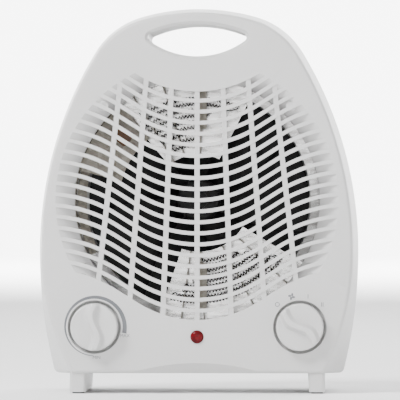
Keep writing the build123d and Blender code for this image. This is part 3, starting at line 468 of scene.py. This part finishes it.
# one unbroken wire that goes to and fro, row by row
def crinkledWire(rows, seed):
    shake = random.Random(seed)
    points = []
    for order, (radius, start, end) in enumerate(rows):
        radius /= 1000
        count = int(math.radians(end - start) * radius / heater["step"])
        row = []
        for step in range(count + 1):
            angle = math.radians(start + (end - start) * step / count)
            reach = radius + heater["swing"] * (1 if step % 2 else -1) * shake.uniform(heater["leastSwing"], 1.0)
            depth = heater["depth"] + heater["ripple"] * shake.uniform(-1, 1)
            row.append((reach * math.cos(angle), frontY + depth, axisZ + reach * math.sin(angle), 1.0))
        points += row if order % 2 == 0 else row[::-1]
    curve = bpy.data.curves.new("wirePath", "CURVE")
    curve.dimensions = "3D"
    curve.bevel_depth = heater["radius"]
    curve.bevel_resolution = 1
    curve.resolution_u = 3
    curve.use_fill_caps = True
    path = curve.splines.new("NURBS")
    path.points.add(len(points) - 1)
    for point, place in zip(path.points, points):
        point.co = place
    path.order_u = 3
    path.use_endpoint_u = True
    holder = bpy.data.objects.new("wirePath", curve)
    bpy.context.scene.collection.objects.link(holder)
    bpy.context.view_layer.update()
    mesh = bpy.data.meshes.new_from_object(holder.evaluated_get(bpy.context.evaluated_depsgraph_get()))
    bpy.data.objects.remove(holder)
    mesh.polygons.foreach_set("use_smooth", [True] * len(mesh.polygons))
    return mesh


for name, rows, node, seed in (("upperHeatingWire", heater["upper"], "upper_heating_wire", 4),
                               ("lowerHeatingWire", heater["lower"], "lower_heating_wire", 9)):
    link(crinkledWire(rows, seed), name, finishes["resistance_wire"], "housing", [node])
print("stage: heating wires")

# print round the dials: a scale that widens, four marks and two words
dialPrint = {
    "lift": 0.00002, "thickness": 0.00003, "scaleInner": 0.0194, "scaleThin": 0.0004, "scaleThick": 0.0030,
    "scaleStart": 181.5, "scaleSweep": 280.0, "scaleSteps": 120, "markRadius": 0.0217, "markSize": 0.0044,
    "marks": {"offMark": ("O", -45), "lowMark": ("I", 15), "highMark": ("II", 45)}, "fanMarkAngle": -15,
    "fanBlade": 0.26, "fanNarrow": 0.62, "fanAside": 0.1, "fanOut": 0.29, "wordSize": 0.0031,
    "words": {"minWord": ("MIN", -0.0688, 0.0247), "maxWord": ("MAX", -0.0494, 0.0396)},
}


# lays a flat mesh on the front panel
def onPanel(mesh, x, z):
    mesh.transform(Matrix.Translation((x, frontY - dialPrint["lift"], z)) @ Matrix.Rotation(math.pi / 2, 4, "X"))
    return mesh


def markPlace(angle):
    turn = math.radians(angle)
    return (dials["x"] + dialPrint["markRadius"] * math.sin(turn),
            dials["z"] + dialPrint["markRadius"] * math.cos(turn))


def word(text, size):
    curve = bpy.data.curves.new("word", "FONT")
    curve.body = text
    curve.size = size
    curve.align_x = "CENTER"
    curve.align_y = "CENTER"
    curve.extrude = dialPrint["thickness"] / 2
    holder = bpy.data.objects.new("word", curve)
    bpy.context.scene.collection.objects.link(holder)
    bpy.context.view_layer.update()
    mesh = bpy.data.meshes.new_from_object(holder.evaluated_get(bpy.context.evaluated_depsgraph_get()))
    bpy.data.objects.remove(holder)
    return mesh


def thickened(form):
    bmesh.ops.recalc_face_normals(form, faces=form.faces)
    bmesh.ops.solidify(form, geom=form.faces, thickness=dialPrint["thickness"])
    return fromBmesh(form, 30)


scaleForm = bmesh.new()
bmesh.ops.create_grid(scaleForm, x_segments=dialPrint["scaleSteps"], y_segments=1, size=0.5)
for vert in scaleForm.verts:
    along = vert.co.x + 0.5
    width = dialPrint["scaleThin"] + (dialPrint["scaleThick"] - dialPrint["scaleThin"]) * along
    reach = dialPrint["scaleInner"] + width * (vert.co.y + 0.5)
    turn = math.radians(dialPrint["scaleStart"] + dialPrint["scaleSweep"] * along)
    vert.co = (reach * math.sin(turn), reach * math.cos(turn), 0)
link(onPanel(thickened(scaleForm), -dials["x"], dials["z"]), "thermostatScale", printInk, "housing")

for name, (text, angle) in dialPrint["marks"].items():
    link(onPanel(word(text, dialPrint["markSize"]), *markPlace(angle)), name, printInk, "housing")

markSize = dialPrint["markSize"]
fanForm = bmesh.new()
for quarter in range(4):
    blade = bmesh.ops.create_circle(fanForm, cap_ends=True, segments=14,
                                    radius=markSize * dialPrint["fanBlade"])["verts"]
    bmesh.ops.scale(fanForm, vec=(dialPrint["fanNarrow"], 1, 1), verts=blade)
    bmesh.ops.translate(fanForm, vec=(markSize * dialPrint["fanAside"], markSize * dialPrint["fanOut"], 0),
                        verts=blade)
    bmesh.ops.rotate(fanForm, cent=(0, 0, 0), matrix=Matrix.Rotation(quarter * math.pi / 2, 3, "Z"), verts=blade)
link(onPanel(thickened(fanForm), *markPlace(dialPrint["fanMarkAngle"])), "fanMark", printInk, "housing")

for name, (text, x, z) in dialPrint["words"].items():
    link(onPanel(word(text, dialPrint["wordSize"]), x, z), name, printInk, "housing")
print("stage: print")

# studio: a round pale bowl, a soft world, six softboxes and the camera
middle = (0, 0, 0.13)  # what most softboxes face
studio = {"floor": 0.94, "world": 0.35, "distance": 3.6, "frameWidth": 0.2771, "azimuth": 1.7,
          "target": (0.0005, 0.0, 0.1325), "cameraHeight": 0.135, "sensor": 36.0, "clipEnd": 50.0,
          "radius": 10.0, "wall": 5.0, "bend": 2.0, "sides": 96, "bendSteps": 24}
softboxes = {  # power, size, place and what it faces
    "keyBox": (92.0, (0.8, 0.7), (-1.3, -1.3, 1.8), middle),
    "fillBox": (4.0, (1.0, 1.4), (1.6, -1.4, 0.8), middle),
    "rearBox": (30.0, (1.2, 1.0), (1.2, 1.6, 1.6), middle),
    "frontBox": (74.0, (4.0, 3.0), (0.3, -6.0, 1.0), middle),
    "ceilingBox": (520.0, (13.0, 13.0), (0, 0, 5.4), (0, 0, 0)),
    "backdropBox": (1800.0, (5.0, 2.0), (0, 5.0, 3.4), (0, 10.0, 0.4)),
}

sweepForm = bmesh.new()
bmesh.ops.create_circle(sweepForm, cap_ends=True, segments=studio["sides"], radius=studio["radius"])
risen = bmesh.ops.extrude_edge_only(sweepForm, edges=sweepForm.edges[:])["geom"]
bmesh.ops.translate(sweepForm, vec=(0, 0, studio["wall"]),
                    verts=[part for part in risen if isinstance(part, bmesh.types.BMVert)])
corner = [edge for edge in sweepForm.edges if all(vert.co.z < 0.01 for vert in edge.verts)]
bmesh.ops.bevel(sweepForm, geom=corner, offset=studio["bend"], offset_type="OFFSET", segments=studio["bendSteps"],
                profile=0.5, affect="EDGES", material=-1)
bmesh.ops.recalc_face_normals(sweepForm, faces=sweepForm.faces)
sweepMesh = bpy.data.meshes.new("floorSweep")
sweepForm.to_mesh(sweepMesh)
sweepForm.free()
sweepMesh.polygons.foreach_set("use_smooth", [True] * len(sweepMesh.polygons))
floorLook = Finish("paleFloor", Roughness=0.85)
floorLook.feed(Base_Color=floorLook.blend(floorLook.range(floorLook.noise(0.6, 2.0), 0.3, 0.7),
                                          grey(studio["floor"]), grey(studio["floor"] * 0.99)))
sweepMesh.materials.append(floorLook.material)
floorSweep = bpy.data.objects.new("floorSweep", sweepMesh)
bpy.context.scene.collection.objects.link(floorSweep)

world = bpy.data.worlds.new("studioWorld")
world.use_nodes = True
world.node_tree.nodes["Background"].inputs["Color"].default_value = (1.0, 1.0, 1.0, 1.0)
world.node_tree.nodes["Background"].inputs["Strength"].default_value = studio["world"]
bpy.context.scene.world = world

for name, (power, size, place, aim) in softboxes.items():
    lamp = bpy.data.lights.new(name, "AREA")
    lamp.energy = power
    lamp.shape = "RECTANGLE"
    lamp.size, lamp.size_y = size
    holder = bpy.data.objects.new(name, lamp)
    holder.location = place
    holder.rotation_euler = (Vector(aim) - Vector(place)).to_track_quat("-Z", "Y").to_euler()
    holder.visible_camera = False
    bpy.context.scene.collection.objects.link(holder)

camera = bpy.data.cameras.new("photoCamera")
camera.sensor_width = studio["sensor"]
camera.lens = camera.sensor_width * studio["distance"] / studio["frameWidth"]
camera.clip_end = studio["clipEnd"]
holder = bpy.data.objects.new("photoCamera", camera)
turn = math.radians(studio["azimuth"])
target = Vector(studio["target"])
holder.location = (target.x + studio["distance"] * math.sin(turn), partingY - studio["distance"] * math.cos(turn),
                   studio["cameraHeight"])
holder.rotation_euler = (target - holder.location).to_track_quat("-Z", "Y").to_euler()
bpy.context.scene.collection.objects.link(holder)
bpy.context.scene.camera = holder
print("stage: studio")
